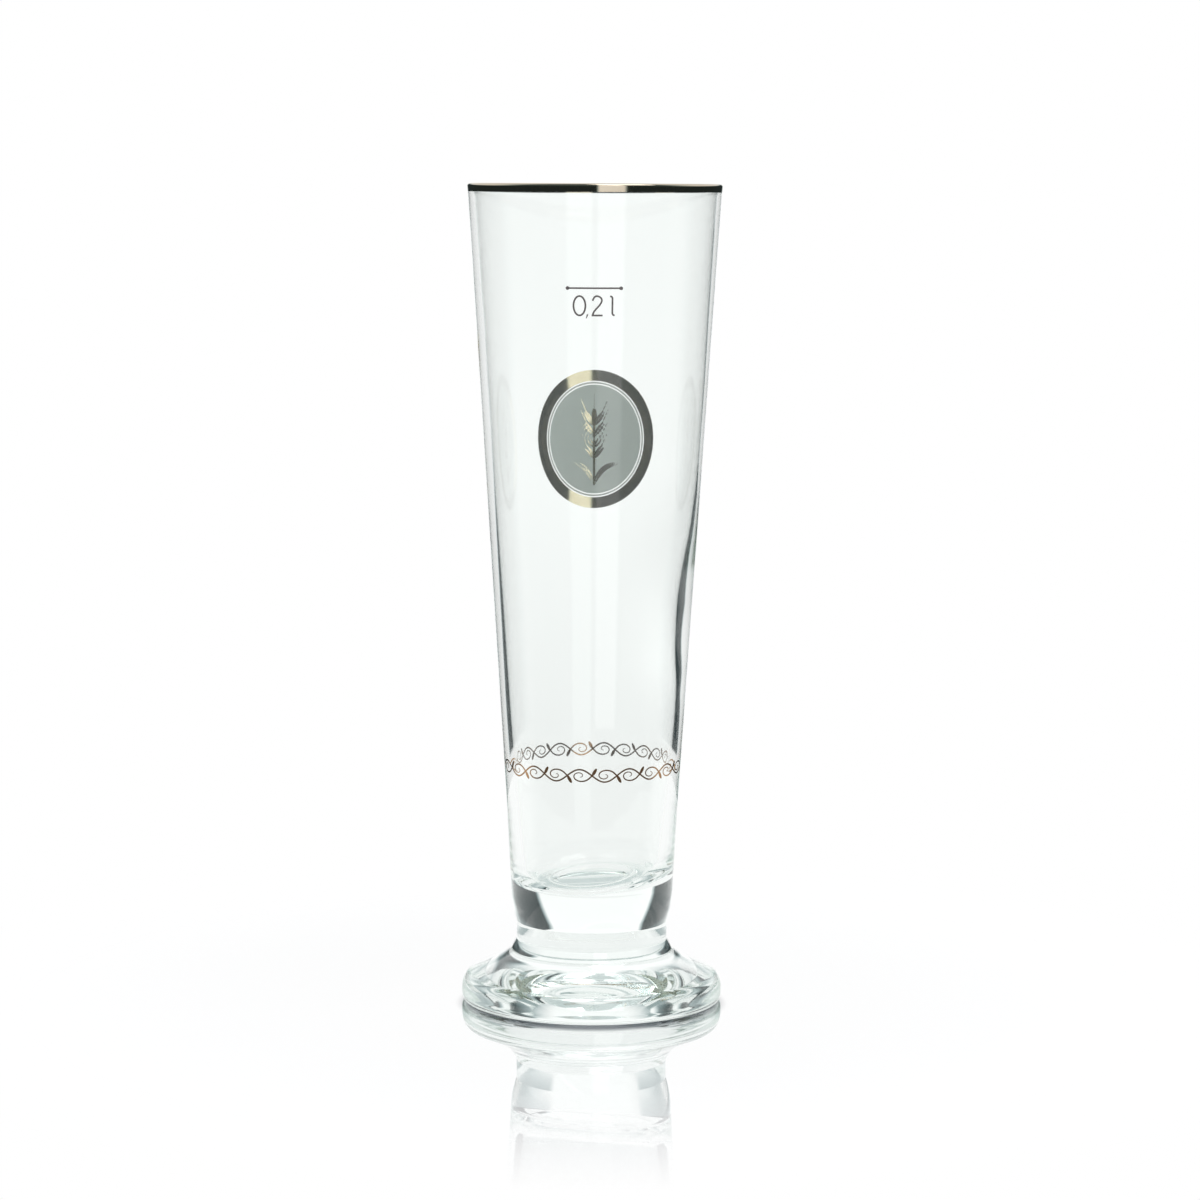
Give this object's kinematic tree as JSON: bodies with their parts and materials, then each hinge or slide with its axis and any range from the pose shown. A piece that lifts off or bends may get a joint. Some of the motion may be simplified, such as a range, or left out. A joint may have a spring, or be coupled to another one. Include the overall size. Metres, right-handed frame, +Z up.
{
  "type": "footed beer glass",
  "caption": "Tall footed beer glass: narrow conical bowl on a short stem and a thick domed foot, with a gilded lip, a fill line with its volume, an oval badge and scroll ornament.",
  "frame": {"origin": "middle of the ring that the foot stands on, at floor level", "axes": "+Z up along the glass's axis, -Y towards the fill line, +Y towards the badge"},
  "size_m": [0.0614, 0.0614, 0.1922],
  "materials": {
    "clear_glass": "clear soda-lime glass, blown and pressed, fire polished, with a faint grey-green cast",
    "lip_gilding": "bright gold burnt on over the lip, brushed on by a turning wheel",
    "mark_enamel": "dark grey-brown screen-printed glass enamel, fired, satin",
    "badge_gilding": "gold burnt on as a transfer, bright, seen through the glass from the front",
    "pale_enamel": "pale fired enamel line, satin",
    "field_enamel": "translucent grey-green fired enamel",
    "ornament_gilding": "thin rosy gold burnt on as a transfer"
  },
  "bodies": {
    "root": {"foot": "clear_glass", "stem": "clear_glass", "bowl": "clear_glass", "rim_band": "lip_gilding", "fill_line": "mark_enamel", "volume_zero": "mark_enamel", "volume_comma": "mark_enamel", "volume_two": "mark_enamel", "volume_litre": "mark_enamel", "badge_frame": "badge_gilding", "badge_hairline": "pale_enamel", "badge_field": "field_enamel", "badge_barley": "badge_gilding", "ornament_front": "ornament_gilding", "ornament_back": "ornament_gilding"}
  },
  "joints": []
}
